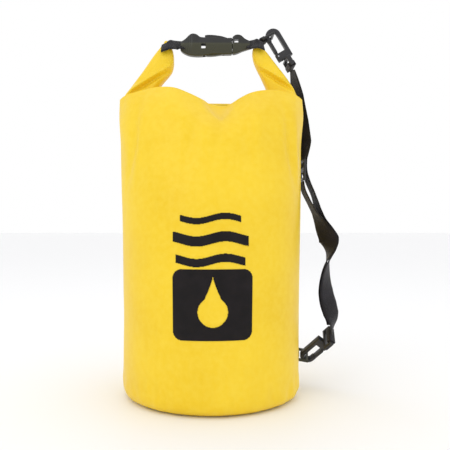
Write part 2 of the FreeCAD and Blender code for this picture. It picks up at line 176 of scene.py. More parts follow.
def tarpaulin_material():
    """PVC-coated polyester tarpaulin: calendered, so satin, with the scrim faintly raised under the coat."""
    fabric = settings("fabric")
    material, tree, shader = surface("pvc_tarpaulin", 0.42, Specular_IOR_Level=0.28, Coat_Weight=0.02,
                                     Coat_Roughness=0.35)
    place = add(tree, "ShaderNodeTexCoord").outputs["Object"]
    broad = add(tree, "ShaderNodeTexNoise", {"Vector": place}, Scale=14.0, Detail=3.0).outputs[0]
    grime = add(tree, "ShaderNodeTexNoise", {"Vector": place}, Scale=160.0, Detail=4.0).outputs[0]
    base = mixed_colour(tree, remapped(tree, broad, 0.3, 0.7, 0.0, 1.0), "E9C21A", fabric.tarpaulin)
    speck = remapped(tree, grime, 0.35, 0.75, 0.0, 0.25)
    tint = add(tree, "ShaderNodeMix", {"Factor": speck, "A": base}, data_type="RGBA")
    tint.inputs["B"].default_value = linear("F6DC52")
    tree.links.new(tint.outputs["Result"], shader.inputs["Base Color"])
    tree.links.new(remapped(tree, broad, 0.3, 0.7, 0.36, 0.48), shader.inputs["Roughness"])
    # The scrim's two crossed sets of threads show as a faint ridged grid. A wave texture repeats at
    # 2 pi / 20 of its unit, so with this scale the ridges repeat at 2 pi times the scrim's size.
    scale = 1.0 / fabric.scrim_pitch / WAVE_UNIT
    across, along = (add(tree, "ShaderNodeTexWave", {"Vector": place}, bands_direction=way, Scale=scale,
                         Distortion=0.2) for way in ("Z", "X"))
    ridges = {0: pattern_output(across), 1: pattern_output(along)}
    grid = add(tree, "ShaderNodeMath", ridges, operation="ADD")
    pebble = add(tree, "ShaderNodeTexNoise", {"Vector": place}, Scale=420.0, Detail=2.0).outputs[0]
    height = add(tree, "ShaderNodeMath", {0: grid.outputs[0], 1: pebble}, operation="ADD")
    bump = add(tree, "ShaderNodeBump", {"Height": height.outputs[0]}, Strength=0.12, Distance=0.15 * MM)
    tree.links.new(bump.outputs[0], shader.inputs["Normal"])
    return material


def ink_material():
    """Screen-printing ink on the coated fabric: a thin matt film that keeps a little of its grain."""
    material, tree, shader = surface("screen_ink", 0.7, Specular_IOR_Level=0.2)
    place = add(tree, "ShaderNodeTexCoord").outputs["Object"]
    broad = add(tree, "ShaderNodeTexNoise", {"Vector": place}, Scale=60.0, Detail=5.0).outputs[0]
    colour = mixed_colour(tree, remapped(tree, broad, 0.35, 0.7, 0.0, 1.0), "120F10", "1C1719")
    tree.links.new(colour, shader.inputs["Base Color"])
    bump = add(tree, "ShaderNodeBump", {"Height": broad}, Strength=0.1, Distance=0.1 * MM)
    tree.links.new(bump.outputs[0], shader.inputs["Normal"])
    return material


def webbing_material():
    """Woven polyester webbing: textured filament in a close weave, so dull black with a soft sheen."""
    material, tree, shader = surface("woven_polyester_webbing", 0.72, Specular_IOR_Level=0.25,
                                     Sheen_Weight=0.15, Sheen_Roughness=0.4)
    place = add(tree, "ShaderNodeUVMap", uv_map="weave").outputs[0]
    # The map is in metres: the rows of the weave lie about 1.5 mm apart along the strap, each is made of
    # floats 2.8 mm wide, and every other row is shifted by half a float.
    weave = add(tree, "ShaderNodeTexBrick", {"Vector": place}, Scale=1.0 / WEAVE_UNIT, offset=0.5)
    for key, value in (("Mortar Size", 0.06), ("Mortar Smooth", 0.6), ("Brick Width", 1.0),
                       ("Row Height", 0.55)):
        weave.inputs[key].default_value = value
    fuzz = add(tree, "ShaderNodeTexNoise", {"Vector": place}, Scale=900.0, Detail=2.0).outputs[0]
    broad = add(tree, "ShaderNodeTexNoise", {"Vector": place}, Scale=40.0, Detail=3.0).outputs[0]
    colour = mixed_colour(tree, remapped(tree, broad, 0.3, 0.7, 0.0, 1.0), "100E10",
                          settings("webbing").colour)
    tree.links.new(colour, shader.inputs["Base Color"])
    height = add(tree, "ShaderNodeMath", {0: fuzz, 1: pattern_output(weave)}, operation="SUBTRACT")
    bump = add(tree, "ShaderNodeBump", {"Height": height.outputs[0]}, Strength=0.55, Distance=0.35 * MM)
    tree.links.new(bump.outputs[0], shader.inputs["Normal"])
    return material


def moulded_material(name, dark, light, roughness, lower=None):
    """Injection-moulded acetal: slightly waxy, from a spark-eroded mould. Below a level it may take a
    painted reflection: a tint standing in for the yellow bag's light bouncing up onto its underside.
    """
    material, tree, shader = surface(name, roughness, Specular_IOR_Level=0.5, IOR=1.48)
    place = add(tree, "ShaderNodeTexCoord").outputs["Object"]
    grain = add(tree, "ShaderNodeTexNoise", {"Vector": place}, Scale=1400.0, Detail=2.0).outputs[0]
    broad = add(tree, "ShaderNodeTexNoise", {"Vector": place}, Scale=55.0, Detail=3.0).outputs[0]
    colour = mixed_colour(tree, remapped(tree, broad, 0.3, 0.7, 0.0, 1.0), dark, light)
    if lower is not None:
        # Painted reflection: under the level the colour is drawn to the lower tint, standing in for the
        # yellow light the bag throws up onto the buckle's underside.
        level = add(tree, "ShaderNodeSeparateXYZ", {0: place}).outputs[2]
        reflection_level = SOCKET_LOW.z + (SOCKET_HIGH.z - SOCKET_LOW.z) * REFLECTION_SHARE
        reflection_mask = remapped(tree, level, reflection_level, reflection_level - 2 * MM, 0.0, 1.0)
        tint = add(tree, "ShaderNodeMix", {"Factor": reflection_mask, "A": colour}, data_type="RGBA")
        tint.inputs["B"].default_value = linear(lower)
        colour = tint.outputs["Result"]
    tree.links.new(colour, shader.inputs["Base Color"])
    uneven = remapped(tree, broad, 0.3, 0.7, roughness - 0.06, roughness + 0.06)
    tree.links.new(uneven, shader.inputs["Roughness"])
    bump = add(tree, "ShaderNodeBump", {"Height": grain}, Strength=0.15, Distance=0.08 * MM)
    tree.links.new(bump.outputs[0], shader.inputs["Normal"])
    return material


def steel_material():
    """Stainless spring wire: drawn, so bright with faint lines."""
    material, tree, shader = surface("drawn_stainless", 0.3, Metallic=1.0)
    place = add(tree, "ShaderNodeTexCoord").outputs["Object"]
    broad = add(tree, "ShaderNodeTexNoise", {"Vector": place}, Scale=900.0, Detail=2.0).outputs[0]
    tree.links.new(mixed_colour(tree, broad, "9B9B9E", "C4C4C6"), shader.inputs["Base Color"])
    return material


MATERIALS = {}


def material(name):
    """Each finish is made once, when it is first asked for."""
    tints = settings("hardware")
    makers = {
        "tarpaulin": tarpaulin_material,
        "ink": ink_material,
        "webbing": webbing_material,
        # The buckle's olive lower tint, 33331F, is a painted reflection of the yellow bag. Every part with
        # this finish that lies below the level takes it.
        "buckle": lambda: moulded_material("moulded_acetal_buckle", tints.colour, "1E1E1F", 0.3, "33331F"),
        "hook": lambda: moulded_material("moulded_acetal_hook", "1D1D20", tints.hook_colour, 0.42),
        "steel": steel_material,
    }
    if name not in MATERIALS:
        MATERIALS[name] = makers[name]()
    return MATERIALS[name]


def dress(piece, finish):
    """Gives a piece one finish and no other."""
    piece.data.materials.clear()
    piece.data.materials.append(material(finish))


# ------------------------------------------------------------------ modelling helpers
def fresh():
    """Leaves nothing selected, so the next operator acts only on what is added."""
    if bpy.context.object is not None and bpy.context.object.mode != "OBJECT":
        bpy.ops.object.mode_set(mode="OBJECT")
    bpy.ops.object.select_all(action="DESELECT")


def pick(piece):
    """Selects a piece and makes it the one that operators act on."""
    piece.select_set(True)
    bpy.context.view_layer.objects.active = piece


def settle(name, finish, body, *replaced, smooth=math.radians(40)):
    """Applies the active piece's modifiers and place, names it, shades it and hands it to its body."""
    piece = bpy.context.object
    for modifier in list(piece.modifiers):
        bpy.ops.object.modifier_apply(modifier=modifier.name)
    bpy.ops.object.transform_apply(location=True, rotation=True, scale=True)
    bpy.ops.object.shade_smooth_by_angle(angle=smooth)
    piece.name = name
    piece.data.name = name
    dress(piece, finish)
    if body is not None:
        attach(piece, body)
    if replaced:
        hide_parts(*replaced)
    return piece


def tube_grid(around, rows, spread):
    """An open cylinder divided in edit mode into even rows, then spread(turn, share) places each point."""
    fresh()
    bpy.ops.mesh.primitive_cylinder_add(vertices=around, radius=1.0, depth=1.0, end_fill_type="NOTHING")
    piece = bpy.context.object
    bpy.ops.object.mode_set(mode="EDIT")
    edit = bmesh.from_edit_mesh(piece.data)
    for edge in edit.edges:
        edge.select_set(abs(edge.verts[0].co.z - edge.verts[1].co.z) > 0.5)
    bmesh.update_edit_mesh(piece.data)
    bpy.ops.mesh.subdivide(number_cuts=rows)
    bpy.ops.mesh.select_all(action="DESELECT")
    bpy.ops.object.mode_set(mode="OBJECT")
    for vertex in piece.data.vertices:
        share = vertex.co.z + 0.5
        turn = math.atan2(vertex.co.y, vertex.co.x)
        vertex.co = spread(turn, share)
    return piece


def close_ends():
    """Fills the active piece's open rims with a face each and turns its faces outwards."""
    bpy.ops.object.mode_set(mode="EDIT")
    bpy.ops.mesh.select_all(action="SELECT")
    bpy.ops.mesh.fill_holes(sides=0)
    bpy.ops.mesh.normals_make_consistent(inside=False)
    bpy.ops.object.mode_set(mode="OBJECT")


def smooth_step(low, high, value):
    """0 up to low, 1 from high on, and an eased climb between them."""
    share = min(max((value - low) / (high - low), 0.0), 1.0)
    return share * share * (3 - 2 * share)


def bell(distance, width):
    """1 at no distance, falling off over a width to either side."""
    return math.exp(-(distance / width) ** 2)


def flowing(rows, place):
    """Values at a place along rows of (place, value, ...), on a smooth curve through them."""
    if place <= rows[0][0]:
        return list(rows[0][1:])
    for index in range(len(rows) - 1):
        if place <= rows[index + 1][0]:
            break
    else:
        return list(rows[-1][1:])
    before, low, high, after = (rows[max(index - 1, 0)], rows[index], rows[index + 1],
                                rows[min(index + 2, len(rows) - 1)])
    span = high[0] - low[0]
    part = (place - low[0]) / span
    values = []
    for k in range(1, len(low)):
        leave = (high[k] - before[k]) / (high[0] - before[0]) * span
        arrive = (after[k] - low[k]) / (after[0] - low[0]) * span
        rise = high[k] - low[k]
        bend = (leave - rise) * (1 - part) - (arrive - rise) * part
        values.append(low[k] + part * rise + part * (1 - part) * bend)
    return values


def ripple(cos, sin, around, climb):
    """Smooth noise round a tube: around sets how often it changes on the way round."""
    return noise.noise(Vector((cos * around, sin * around, climb)))


def squared(cos, sin, power):
    """How far a rounded rectangle's edge lies out from a circle's at a turn; a power of 2 is the circle."""
    return (abs(cos) ** power + abs(sin) ** power) ** (-1 / power)


# ------------------------------------------------------------------ bag fabric
# Creases below the roll: the turn in radians, the share of the height, how the turn drifts with the height,
# and the strength.
CREASES = [(-1.75, 0.86, 0.75, 1.0), (-1.25, 0.9, -0.6, 0.9), (-2.5, 0.83, 1.2, 0.8),
           (-0.62, 0.82, -1.1, 0.9), (1.4, 0.85, 0.6, 0.9), (1.9, 0.88, -0.7, 0.8),
           (2.6, 0.8, -1.0, 0.7), (0.5, 0.8, 1.1, 0.8)]
# Half the mouth's depth, how much wider the mouth is to each side, how far the sides are drawn in, and how
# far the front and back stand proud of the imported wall.
MOUTH_HALF_DEPTH = 30.0 * MM
MOUTH_SPREAD = 5.0 * MM
SIDE_TRIM = 1.0 * MM
SKIN_PROUD = 0.3 * MM
# The section stays round up to the first share of the height and flattens over the second.
ROUND_UP_TO = 0.42
FLATTENS_OVER = 0.58
FLATTENING = 2.8
# The share of the grid's rows that goes up the wall. The rest closes it.
CLOSING = 0.93
# The fabric's lowest level, the height over which the base rounds in, and how much of that rounding is used.
FOOT = 0.6 * MM
BASE_ROUND = 13.0 * MM
BASE_TUCK = 0.8
# Height in millimetres of the front shoulder's crest at each x across the bag: two swells with a pinch
# between them, right of the middle.
SHOULDER = [(-110, 333), (-80, 338), (-57, 341.5), (-38, 340), (-22, 333.5), (-8, 326.5), (4, 322.5),
            (15, 321), (21, 322.5), (30, 328.5), (40, 334), (52, 337.5), (68, 339), (86, 337), (110, 332)]


def shoulder_height(x):
    """The crest's height at a width."""
    return flowing(SHOULDER, x / MM)[0] * MM


def skin_point(turn, share):
    """The fabric's surface. The last shares close it inwards to the roll."""
    fabric = settings("fabric")
    climb = min(share / CLOSING, 1.0)
    level = FOOT + (BODY_HIGH.z - FOOT) * climb
    half_x = BASE_RADIUS - SIDE_TRIM + MOUTH_SPREAD * climb ** 2
    flat = (max(climb - ROUND_UP_TO, 0.0) / FLATTENS_OVER) ** FLATTENING
    half_y = BASE_RADIUS + (MOUTH_HALF_DEPTH - BASE_RADIUS) * flat + SKIN_PROUD
    under = max(1.0 - (level - FOOT) / BASE_ROUND, 0.0)
    draw_in = BASE_ROUND * (1.0 - math.sqrt(max(1.0 - under ** 2, 0.0))) * BASE_TUCK
    half_x -= draw_in
    half_y -= draw_in
    cos, sin = math.cos(turn), math.sin(turn)
    front = max(-sin, 0.0)
    point = Vector((half_x * cos, half_y * sin, level))
    outward = Vector((cos, sin, 0))
    # Broad sagging first, calmer at the right side, then the creases, the base's puckers and fine rumples.
    push = ripple(cos, sin, 1.3, climb * 3.1 + 7.0) * 2.0 * MM * smooth_step(0.03, 0.3, climb)
    push *= 1.0 - 0.7 * max(cos, 0.0) ** 4
    for angle, height, slope, gain in CREASES:
        drift = angle + slope * (climb - height)
        away = math.atan2(math.sin(turn - drift), math.cos(turn - drift))
        length = bell(climb - height, 0.1)
        push -= fabric.wrinkle_depth * gain * length * bell(away, 0.06)
        push += fabric.wrinkle_depth * 0.7 * gain * length * bell(away - 0.13, 0.08)
    push += ripple(cos, sin, 9.0, climb * 14.0 + 3.0) * 2.0 * MM * bell(level - 14 * MM, 14 * MM)
    push += ripple(cos, sin, 4.0, climb * 9.0) * 1.6 * MM * smooth_step(0.66, 0.97, climb)
    # The front shoulder puffs up before the roll, and is pinched to a V right of the middle.
    rise = smooth_step(0.8, 1.0, climb) * min(front * 3.0, 1.0)
    puff = bell(climb - 0.93, 0.09) * front * 9.0 * MM
    point.z += (shoulder_height(point.x) - BODY_HIGH.z) * rise
    opening = smooth_step(0.915, 1.0, climb)
    beside = abs(point.x - (10 - 3 * opening) * MM)
    pocket = smooth_step(-1.0 * MM, 3.0 * MM, 14.0 * MM * opening - beside) * smooth_step(0.9, 0.94, climb)
    valley = bell(beside, 26 * MM) * smooth_step(0.82, 0.98, climb)
    lips = bell(beside - (14.0 * opening + 6.0) * MM, 7.0 * MM) * smooth_step(0.88, 0.96, climb)
    push += puff + (2.4 * MM * lips - fabric.dip_depth * (0.6 * pocket + 0.4 * valley)) * front
    point += outward * push
    if share > CLOSING:
        tuck = (share - CLOSING) / (1 - CLOSING)
        point.y *= math.cos(tuck * math.pi / 2) * 0.86 + 0.14
        point.z += (-1.0 - 11.0 * min(front * 2.0, 1.0)) * MM * (1 - math.cos(tuck * math.pi / 2))
        point.z += 1.0 * MM * math.sin(min(tuck * 3.0, 1.0) * math.pi)
    return point


class DRYBAG_OT_bag(bpy.types.Operator):
    """Lofts the bag's fabric over its base, sags and creases it, and closes it under the roll"""
    bl_idname = "drybag.bag"
    bl_label = "Bag fabric"

    def execute(self, context):
        tube_grid(around=180, rows=99, spread=skin_point)
        close_ends()
        settle("bag_fabric", "tarpaulin", "root", "bag_body", "base_weld_band", "base_panel",
               smooth=math.radians(75))
        return {"FINISHED"}


# The thickness of what is laid on the fabric, and how far the ink and the seam tape stand proud of it.
FILM = 0.3 * MM
INK_PROUD = 0.45 * MM
TAPE_PROUD = 0.8 * MM


def on_skin(x, level, proud, front=True):
    """The point of the creased fabric at a width and level, a little proud of it."""
    share = (level - FOOT) / (BODY_HIGH.z - FOOT) * CLOSING
    side = -1.0 if front else 1.0
    turn = side * math.acos(max(-1.0, min(1.0, x / BASE_RADIUS)))
    point = skin_point(turn, share)
    return point + Vector((math.cos(turn), math.sin(turn), 0)) * proud


def drape_sheet(outline_test, low, high, columns, rows, proud, front=True):
    """A grid laid on the fabric between two corners (x, z), keeping the cells the test accepts."""
    fresh()
    bpy.ops.mesh.primitive_grid_add(x_subdivisions=columns, y_subdivisions=rows, size=1.0)
    piece = bpy.context.object

    def place_of(vertex):
        return (low[0] + (high[0] - low[0]) * (vertex.co.x + 0.5),
                low[1] + (high[1] - low[1]) * (vertex.co.y + 0.5))

    places = [place_of(vertex) for vertex in piece.data.vertices]
    bpy.ops.object.mode_set(mode="EDIT")
    edit = bmesh.from_edit_mesh(piece.data)
    for face in edit.faces:
        spots = [places[corner.index] for corner in face.verts]
        middle = [sum(values) / len(spots) for values in zip(*spots)]
        face.select_set(not outline_test(*middle))
    bmesh.update_edit_mesh(piece.data)
    bpy.ops.mesh.delete(type="FACE")
    bpy.ops.object.mode_set(mode="OBJECT")
    for vertex in piece.data.vertices:
        vertex.co = on_skin(*place_of(vertex), proud, front)
    bpy.ops.object.mode_set(mode="EDIT")
    bpy.ops.mesh.select_all(action="SELECT")
    if not front:
        bpy.ops.mesh.flip_normals()
    bpy.ops.object.mode_set(mode="OBJECT")
    skin = piece.modifiers.new("film", "SOLIDIFY")
    skin.thickness = FILM
    skin.offset = -1.0
    return piece


# The panel's corner radius, and its water drop: radius, height above the ball's centre, how far that centre
# lies under the panel's, and how fast the point narrows.
PANEL_CORNER = 9 * MM
DROP_RADIUS = 15 * MM
DROP_HEIGHT = 36 * MM
DROP_LOWERED = 7 * MM
DROP_TAPER = 1.35
# The wavy bars: the level of each one's middle, its half height and how far it reaches to either side.
WAVES = [(156 * MM, 6.5 * MM, 34 * MM), (177 * MM, 8 * MM, 37 * MM), (197 * MM, 5 * MM, 30 * MM)]
# How high the waves swing, the length that sets their pitch, and the share of the half height that is kept.
WAVE_HEIGHT = 2.6 * MM
WAVE_LENGTH = 9.0 * MM
WAVE_FULLNESS = 0.62


def in_rounded_panel(x, level):
    """Inside the printed panel's rounded rectangle and outside its knocked-out water drop."""
    middle = (PRINT_LOW + PRINT_HIGH) / 2
    half_x = (PRINT_HIGH.x - PRINT_LOW.x) / 2
    half_z = (PRINT_HIGH.z - PRINT_LOW.z) / 2
    over_x = max(abs(x - middle.x) - half_x + PANEL_CORNER, 0.0)
    over_z = max(abs(level - middle.z) - half_z + PANEL_CORNER, 0.0)
    if math.hypot(over_x, over_z) > PANEL_CORNER:
        return False
    rise = level - (middle.z - DROP_LOWERED)
    ball = math.hypot(x - middle.x, rise)
    taper = 0.0
    if 0 <= rise < DROP_HEIGHT:
        taper = DROP_RADIUS * (1 - max(rise, 0.0) / DROP_HEIGHT) ** DROP_TAPER
    return not (ball < DROP_RADIUS or abs(x - middle.x) < taper)


def in_waves(x, level):
    """Inside one of the plain wavy bars above the panel."""
    for middle, half, reach in WAVES:
        wave = middle + WAVE_HEIGHT * math.sin(x / WAVE_LENGTH)
        if abs(level - wave) < half * WAVE_FULLNESS and abs(x) < reach:
            return True
    return False


class DRYBAG_OT_print(bpy.types.Operator):
    """Prints a plain panel with a water drop, and wavy bars above it, on the front"""
    bl_idname = "drybag.print"
    bl_label = "Printed front"

    def execute(self, context):
        drape_sheet(in_rounded_panel, (PRINT_LOW.x, PRINT_LOW.z), (PRINT_HIGH.x, PRINT_HIGH.z), columns=150,
                    rows=130, proud=INK_PROUD)
        settle("printed_drop_panel", "ink", "root", "printed_panel", smooth=math.radians(75))
        drape_sheet(in_waves, (-40 * MM, 147 * MM), (40 * MM, 206 * MM), columns=140, rows=104,
                    proud=INK_PROUD)
        settle("printed_waves", "ink", "root", smooth=math.radians(75))
        return {"FINISHED"}


class DRYBAG_OT_seam(bpy.types.Operator):
    """Welds the tape down the back seam"""
    bl_idname = "drybag.seam"
    bl_label = "Back seam"

    def execute(self, context):
        low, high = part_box("back_seam_tape")
        drape_sheet(lambda x, level: True, (low[0], low[2]), (high[0], high[2]), columns=12, rows=120,
                    proud=TAPE_PROUD, front=False)
        settle("back_seam_weld", "tarpaulin", "root", "back_seam_tape", smooth=math.radians(75))
        return {"FINISHED"}


# ------------------------------------------------------------------ roll and horns
# Half the roll's length in millimetres, half its depth, how many turns of fabric show, and how square the
# sections of the roll and of the horns are.
ROLL_REACH = 82
ROLL_HALF_DEPTH = 13.0 * MM
ROLL_LAYERS = 3.0
ROLL_POWER = 2.6
HORN_POWER = 2.5


def roll_point(turn, share):
    """The flattened roll between the horns: a rounded bar whose turns of fabric step round it."""
    x = (share - 0.5) * 2 * ROLL_REACH * MM
    half_z = (ROLL_HIGH.z - ROLL_LOW.z) / 2 + 1.5 * MM
    middle_z = (ROLL_LOW.z + ROLL_HIGH.z) / 2 - 3.5 * MM - 13.0 * MM * bell(x - 14 * MM, 36 * MM)
    layer = (turn + math.pi) / (2 * math.pi) * ROLL_LAYERS
    step = (layer - math.floor(layer)) * 1.5 * MM
    wobble = noise.noise(Vector((x * 22, math.cos(turn), math.sin(turn)))) * 1.6 * MM
    cos, sin = math.cos(turn), math.sin(turn)
    reach = squared(cos, sin, ROLL_POWER)
    return Vector((x, cos * reach * (ROLL_HALF_DEPTH + step + wobble),
                   middle_z + sin * reach * (half_z + step * 0.6)))


# Share of the horn's height, then its inner edge, its outer edge and its half depth in millimetres.
LEFT_HORN = [
    (0.0, 65.2, 103.3, 17.0), (0.1, 65.2, 102.3, 17.0), (0.22, 64.2, 98.3, 16.0), (0.39, 56.2, 88.8, 14.5),
    (0.565, 45.2, 78.8, 12.5), (0.65, 42.8, 74.2, 11.5), (0.74, 42.4, 69.4, 10.2), (0.83, 42.8, 64.4, 8.8),
    (0.91, 44.2, 59.4, 7.4), (1.0, 48.2, 53.8, 5.0)]
RIGHT_HORN = [
    (0.0, 65.2, 103.3, 17.0), (0.1, 65.2, 102.3, 17.0), (0.22, 64.7, 98.3, 16.0), (0.34, 62.7, 93.3, 15.0),
    (0.48, 57.6, 86.4, 13.5), (0.65, 50.8, 76.2, 11.5), (0.74, 48.2, 70.8, 10.2), (0.83, 47.1, 65.6, 8.8),
    (0.91, 47.8, 60.6, 7.4), (1.0, 51.2, 55.8, 5.0)]
HORN_LOW = 320 * MM
HORN_HIGH = 398.5 * MM
# The share of the grid's rows that goes up a horn, and the share that closes its tip.
HORN_WALL = 0.94
HORN_TIP = 0.06
# The long fold across each horn's front: the share where it crosses the middle, and how steeply it slants.
LEFT_FOLD = (0.46, 4.2)
RIGHT_FOLD = (0.5, 5.4)


def horn_point(rows, side, fold_line, seed):
    """Gives the spread of one horn: a bent, flattened roll end with folds running across it."""
    def spread(turn, share):
        climb = min(share / HORN_WALL, 1.0)
        inner, outer, half_y = flowing(rows, climb)
        half_x = (outer - inner) / 2
        cos, sin = math.cos(turn), math.sin(turn)
        reach = squared(cos, sin, HORN_POWER)
        level = HORN_LOW + (HORN_HIGH - HORN_LOW) * climb
        if share > HORN_WALL:
            shut = (share - HORN_WALL) / HORN_TIP
            half_x *= math.cos(shut * math.pi / 2) * 0.97 + 0.03
            half_y *= math.cos(shut * math.pi / 2) * 0.97 + 0.03
            level += 3.0 * MM * math.sin(shut * math.pi / 2)
        x = side * (inner + outer) / 2 + cos * reach * half_x
        y = sin * reach * half_y
        # The front fold runs from the inner edge down to the outer root: a proud edge with a tuck under it.
        middle, slant = fold_line
        over = side * cos * reach - slant * (middle - climb)
        edge = bell(over, 0.22) - 1.1 * bell(over + 0.42, 0.24)
        root = bell(climb - 0.3, 0.14) * bell(side * cos + 0.2, 0.5)
        front_push = (edge * 3.2 - 3.0 * root) * max(-sin, 0.0)
        back_push = 1.6 * bell(cos - 0.2, 0.2) * max(sin, 0.0)
        rumple = ripple(cos, sin, 2.2, climb * 4.0 + seed) * 1.3
        fade = 1.0 - 0.75 * climb
        calm = smooth_step(0.12, 0.3, climb) * (1.0 - smooth_step(0.8, 0.95, climb))
        y += (back_push - front_push) * calm + rumple * fade * sin
        x += rumple * 0.5 * cos * fade
        return Vector((x * MM, y * MM, level))
    return spread


class DRYBAG_OT_roll(bpy.types.Operator):
    """Rolls the mouth and bends its two ends up into the carry loop's horns"""
    bl_idname = "drybag.roll"
    bl_label = "Rolled mouth"

    def execute(self, context):
        tube_grid(around=64, rows=60, spread=roll_point)
        close_ends()
        settle("rolled_mouth", "tarpaulin", "root", "roll_top", "stiffener_strip", smooth=math.radians(50))
        tube_grid(around=96, rows=80, spread=horn_point(LEFT_HORN, -1, LEFT_FOLD, seed=3.0))
        close_ends()
        left = settle("left_horn", "tarpaulin", None, "left_gusset", "left_roll_end",
                      smooth=math.radians(60))
        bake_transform(left)
        tube_grid(around=96, rows=80, spread=horn_point(RIGHT_HORN, 1, RIGHT_FOLD, seed=11.0))
        close_ends()
        settle("right_horn", "tarpaulin", "root", "right_roll_end", smooth=math.radians(60))
        return {"FINISHED"}


# ------------------------------------------------------------------ webbing
# The strap's route from the upper eye to the lower one: x, y, z in metres, and the turn of its face in
# degrees, 0 where it shows its edge to the front and 90 where it shows its whole width.
STRAP_ROUTE = [
    (0.0944, 0.0080, 0.3707, 0), (0.0985, 0.0120, 0.3560, 30), (0.1025, 0.0180, 0.3250, 45),
    (0.1070, 0.0180, 0.2940, 45), (0.1078, 0.0100, 0.2700, 10), (0.1078, 0.0085, 0.2540, 4),
    (0.1130, 0.0080, 0.2390, 2), (0.1190, 0.0080, 0.2260, 2), (0.1235, 0.0085, 0.2110, 8),
    (0.1270, 0.0090, 0.1970, 22), (0.1320, 0.0090, 0.1860, 40), (0.1380, 0.0090, 0.1740, 54),
    (0.1398, 0.0090, 0.1640, 22), (0.1392, 0.0090, 0.1560, 0), (0.1355, 0.0090, 0.1450, -15),
    (0.1335, 0.0090, 0.1280, -30), (0.1345, 0.0090, 0.1100, -46), (0.1385, 0.0090, 0.0950, -54),
    (0.1420, 0.0090, 0.0830, -50), (0.1415, 0.0094, 0.0740, -30), (0.1408, 0.0098, 0.0665, -10)]
RETURN_ROUTE = [
    (0.1054, 0.0080, 0.2410, 2), (0.1060, 0.0080, 0.2330, 2), (0.1118, 0.0080, 0.2210, 2),
    (0.1188, 0.0080, 0.2080, 6), (0.1245, 0.0081, 0.1970, 22), (0.1299, 0.0073, 0.1860, 40),
    (0.1364, 0.0069, 0.1740, 54), (0.1371, 0.0080, 0.1640, 22), (0.1364, 0.0090, 0.1560, 0),
    (0.1330, 0.0097, 0.1450, -15), (0.1312, 0.0103, 0.1280, -30), (0.1327, 0.0109, 0.1100, -46),
    (0.1369, 0.0111, 0.0950, -54), (0.1403, 0.0110, 0.0830, -50), (0.1388, 0.0106, 0.0750, -30)]


def spline_points(route, name):
    """The points of a smooth spline through a route's control points, and the same for its turns."""
    curve = bpy.data.curves.new(name, "CURVE")
    curve.dimensions = "3D"
    spline = curve.splines.new("NURBS")
    spline.points.add(len(route) - 1)
    for point, place in zip(spline.points, route):
        point.co = (*place[:3], 1.0)
    spline.order_u = 3
    spline.use_endpoint_u = True
    spline.resolution_u = 10
    line = bpy.data.objects.new(name, curve)
    bpy.context.collection.objects.link(line)
    bpy.context.view_layer.update()
    mesh = bpy.data.meshes.new_from_object(line)
    points = [vertex.co.copy() for vertex in mesh.vertices]
    bpy.data.objects.remove(line)
    bpy.data.meshes.remove(mesh)
    steps = len(route) - 1
    turns = []
    for index in range(len(points)):
        place = index / (len(points) - 1) * steps
        before = min(int(place), steps - 1)
        part = place - before
        turns.append(route[before][3] + (route[before + 1][3] - route[before][3]) * part)
    return points, turns


# Faces across a webbing strip, and how far its edges are cupped, as a share of its thickness.
STRIP_CELLS = 8
STRIP_CUP = 0.25


def webbing_strip(name, points, sides, width, thickness):
    """A flat band along points, its width along sides, with a map in metres for the weave."""
    tangents = [(points[min(i + 1, len(points) - 1)] - points[max(i - 1, 0)]).normalized()
                for i in range(len(points))]
    mesh = bmesh.new()
    weave = mesh.loops.layers.uv.new("weave")
    rings = []
    run = 0.0
    runs = []
    # The section has pointed selvedges and is cupped a little towards its edges.
    section = [(-0.5, 0.0)]
    section += [(-0.5 + (i + 0.5) / STRIP_CELLS, 0.5) for i in range(STRIP_CELLS)]
    section += [(0.5, 0.0)]
    section += [(0.5 - (i + 0.5) / STRIP_CELLS, -0.5) for i in range(STRIP_CELLS)]
    for index, (point, tangent, side) in enumerate(zip(points, tangents, sides)):
        if index:
            run += (point - points[index - 1]).length
        runs.append(run)
        across = (side - tangent * side.dot(tangent)).normalized()
        up = tangent.cross(across)
        ring = []
        for wide, thick in section:
            cup = (wide * 2) ** 2 * STRIP_CUP * thickness
            ring.append(mesh.verts.new(point + across * wide * width + up * (thick * thickness + cup)))
        rings.append(ring)
    count = len(section)
    for index, (low, high) in enumerate(zip(rings, rings[1:])):
        for k in range(count):
            after = (k + 1) % count
            face = mesh.faces.new((low[k], low[after], high[after], high[k]))
            spots = ((runs[index], k), (runs[index], k + 1), (runs[index + 1], k + 1), (runs[index + 1], k))
            for loop, (along, step) in zip(face.loops, spots):
                loop[weave].uv = (section[step % count][0] * width, along)
    for ring in (rings[0], rings[-1]):
        face = mesh.faces.new(ring)
        for loop in face.loops:
            loop[weave].uv = (0.0, 0.0)
    bmesh.ops.recalc_face_normals(mesh, faces=mesh.faces)
    data = bpy.data.meshes.new(name)
    mesh.to_mesh(data)
    mesh.free()
    piece = bpy.data.objects.new(name, data)
    bpy.context.collection.objects.link(piece)
    fresh()
    pick(piece)
    return piece


def face_way(turn):
    """The direction of the strap's width at a turn in degrees."""
    return Vector((math.sin(math.radians(turn)), -math.cos(math.radians(turn)), 0))


class DRYBAG_OT_strap(bpy.types.Operator):
    """Hangs the shoulder strap between its hooks, doubled below the slider"""
    bl_idname = "drybag.strap"
    bl_label = "Shoulder strap"

    def execute(self, context):
        web = settings("webbing")
        adjuster = softened("strap_slider", "strap_adjuster", "hook", "root", 0.5 * MM)
        for name, route, node, carried in (("shoulder_strap", STRAP_ROUTE, "strap_main", [adjuster]),
                                           ("strap_doubled_layer", RETURN_ROUTE, "strap_return", [])):
            points, turns = spline_points(route, name)
            length = sum((b - a).length for a, b in zip(points, points[1:]))
            webbing_strip(name, points, [face_way(turn) for turn in turns], web.width, web.thickness)
            piece = settle(name, "webbing", "root", node, smooth=math.radians(50))
            tuple(points[0])
            [tuple(point) for point in points]
            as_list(carried)
        return {"FINISHED"}


